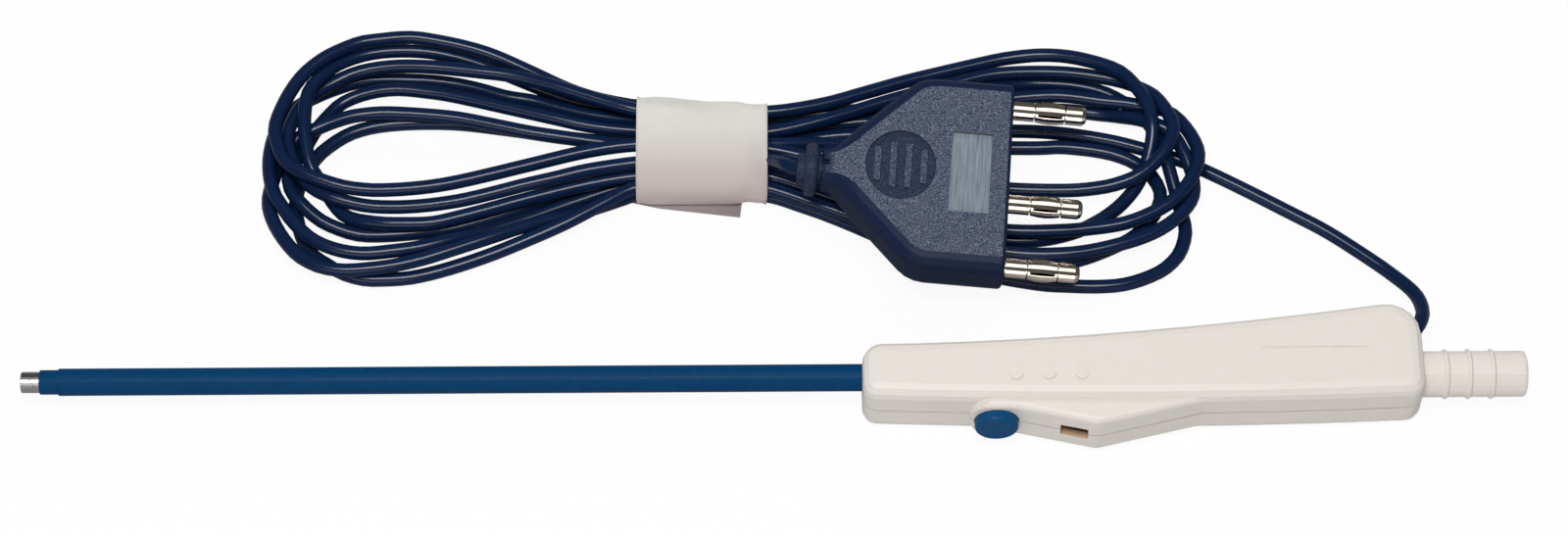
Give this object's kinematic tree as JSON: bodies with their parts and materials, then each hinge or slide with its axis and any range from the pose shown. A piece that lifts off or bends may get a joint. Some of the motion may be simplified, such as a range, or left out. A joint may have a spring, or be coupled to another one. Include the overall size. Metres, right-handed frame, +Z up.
{
  "type": "suction coagulator",
  "caption": "Straight insulated suction tube in a flat handle with thumb vent and push button, hose barb at the rear, and a cord in a paper-banded hank with a pin plug.",
  "frame": {"origin": "bottom centre of the box of the tube and handle, without the cord and what is on it", "axes": "+X along the suction tube towards the hose barb, -Y towards the button side, +Z up from the surface it lies on"},
  "size_m": [0.3072, 0.1029, 0.0209],
  "materials": {
    "handle_plastic": "fine satin moulding, warm off-white",
    "bright_steel": "bright drawn steel",
    "blue_sleeve": "smooth mid-blue insulation",
    "tan_plastic": "plain tan moulding",
    "switch_board_green": "green board",
    "blue_button": "smooth mid-blue moulding",
    "wire_blue": "blue insulation",
    "wire_white": "white insulation",
    "wire_black": "black insulation",
    "clamp_plastic": "dark moulding",
    "cord_navy": "glossy dark navy jacket",
    "band_paper": "off-white paper",
    "plug_navy": "spark-eroded navy moulding",
    "carrier_plastic": "dark hard moulding",
    "warm_nickel": "warm nickel plate"
  },
  "bodies": {
    "handpiece": {"upper_shell": "handle_plastic", "lower_shell": "handle_plastic", "hose_barb": "handle_plastic", "suction_tube": "bright_steel", "tube_contact_clip": "bright_steel", "contact_dome": "bright_steel", "inner_sleeve": "blue_sleeve", "outer_sleeve": "blue_sleeve", "vent_body": "tan_plastic", "switch_board": "switch_board_green", "wire_electrode": "wire_blue", "wire_switch_one": "wire_white", "wire_switch_two": "wire_black", "cord_clamp": "clamp_plastic", "cord_lead": "cord_navy", "cord_hank": "cord_navy", "cord_tail": "cord_navy", "paper_band": "band_paper", "plug_body": "plug_navy", "pin_carrier": "carrier_plastic", "near_pin": "warm_nickel", "middle_pin": "warm_nickel", "far_pin": "warm_nickel", "near_pin_cage": "warm_nickel", "middle_pin_cage": "warm_nickel", "far_pin_cage": "warm_nickel"},
    "button": {"button_cap": "blue_button"}
  },
  "joints": [
    {"name": "button_press", "type": "slide", "parent": "handpiece", "child": "button", "axis": [0, 1, 0], "range_m": [0, 0.0008], "stiffness_N_per_m": 1500, "springref_m": -0.0004, "deforming": ["contact_dome"]}
  ]
}
